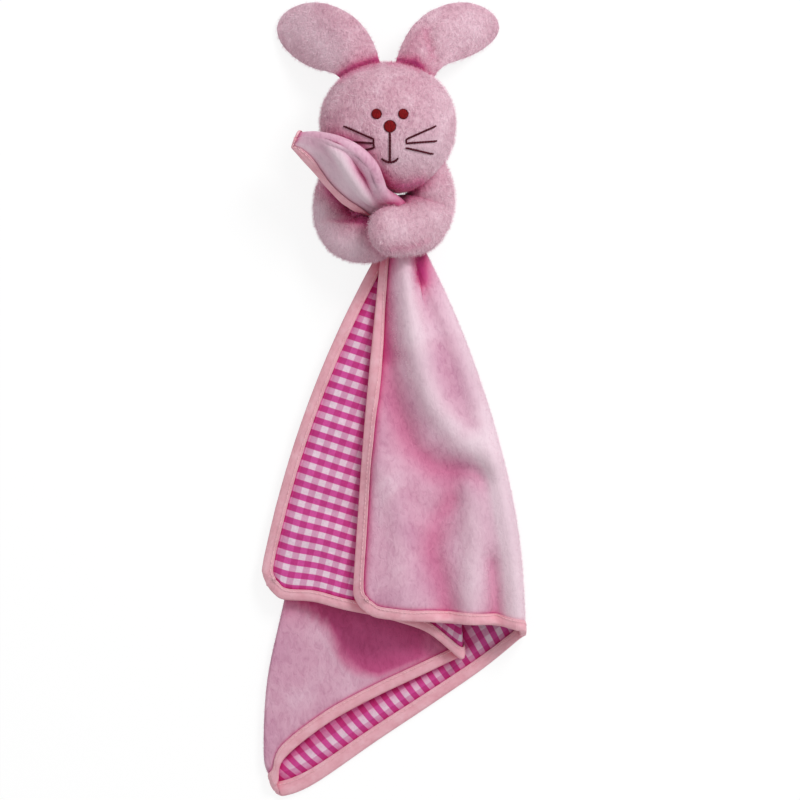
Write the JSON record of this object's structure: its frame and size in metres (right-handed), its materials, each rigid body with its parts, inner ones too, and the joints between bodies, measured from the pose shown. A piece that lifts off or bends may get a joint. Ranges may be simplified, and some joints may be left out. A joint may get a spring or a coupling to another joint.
{
  "type": "rabbit comforter",
  "caption": "Soft pink rabbit comforter: plush head with floppy ears and an embroidered face, arms hugging a velour and gingham blanket with bound edges.",
  "frame": {"origin": "centre of the flat on the back of the head, where the toy rests when it lies face up", "axes": "+Z out of the face, away from the surface that it lies on; +Y from the blanket's tail towards the ears; +X to the viewer's right as the face is seen"},
  "size_m": [0.162, 0.4771, 0.0658],
  "materials": {
    "plush": "short fluffy pile",
    "velour": "smooth short pile with a sheen",
    "gingham": "woven cotton, pink and white checks",
    "binding": "smooth folded tape with a stitch line",
    "embroidery": "satin stitch",
    "filling": "loose polyester fibre"
  },
  "bodies": {
    "head": {"head_front_cover": "plush", "head_back_cover": "plush", "head_filling": "filling", "eye_left": "embroidery", "eye_right": "embroidery", "nose": "embroidery", "mouth": "embroidery", "whisker_left_upper": "embroidery", "whisker_left_middle": "embroidery", "whisker_left_lower": "embroidery", "whisker_right_upper": "embroidery", "whisker_right_middle": "embroidery", "whisker_right_lower": "embroidery", "corner_velour": "velour", "corner_lining": "gingham", "corner_binding": "binding"},
    "ear_left": {"ear_left_front": "plush", "ear_left_back": "plush", "ear_left_filling": "filling"},
    "ear_right": {"ear_right_front": "plush", "ear_right_back": "plush", "ear_right_filling": "filling"},
    "arm_left": {"arm_left_cover": "plush", "arm_left_filling": "filling"},
    "arm_right": {"arm_right_cover": "plush", "arm_right_filling": "filling"},
    "blanket": {"blanket_velour": "velour", "blanket_lining": "gingham", "blanket_binding": "binding"}
  },
  "joints": [
    {"name": "ear_left_lift", "type": "hinge", "parent": "head", "child": "ear_left", "pos_m": [-0.017, 0.036, 0.034], "axis": [0.457, 0.8895, 0], "range_deg": [0, 60]},
    {"name": "ear_right_lift", "type": "hinge", "parent": "head", "child": "ear_right", "pos_m": [0.017, 0.036, 0.034], "axis": [0.457, -0.8895, 0], "range_deg": [0, 60]},
    {"name": "arm_left_open", "type": "hinge", "parent": "head", "child": "arm_left", "pos_m": [-0.038, -0.018, 0.01], "axis": [0, 0, -1], "range_deg": [0, 25]},
    {"name": "arm_right_open", "type": "hinge", "parent": "head", "child": "arm_right", "pos_m": [0.036, -0.017, 0.01], "axis": [0, 0, 1], "range_deg": [0, 30]},
    {"name": "blanket_swing", "type": "hinge", "parent": "head", "child": "blanket", "pos_m": [0.0072, -0.0594, 0], "axis": [0, 0, 1], "range_deg": [-12, 12]}
  ]
}
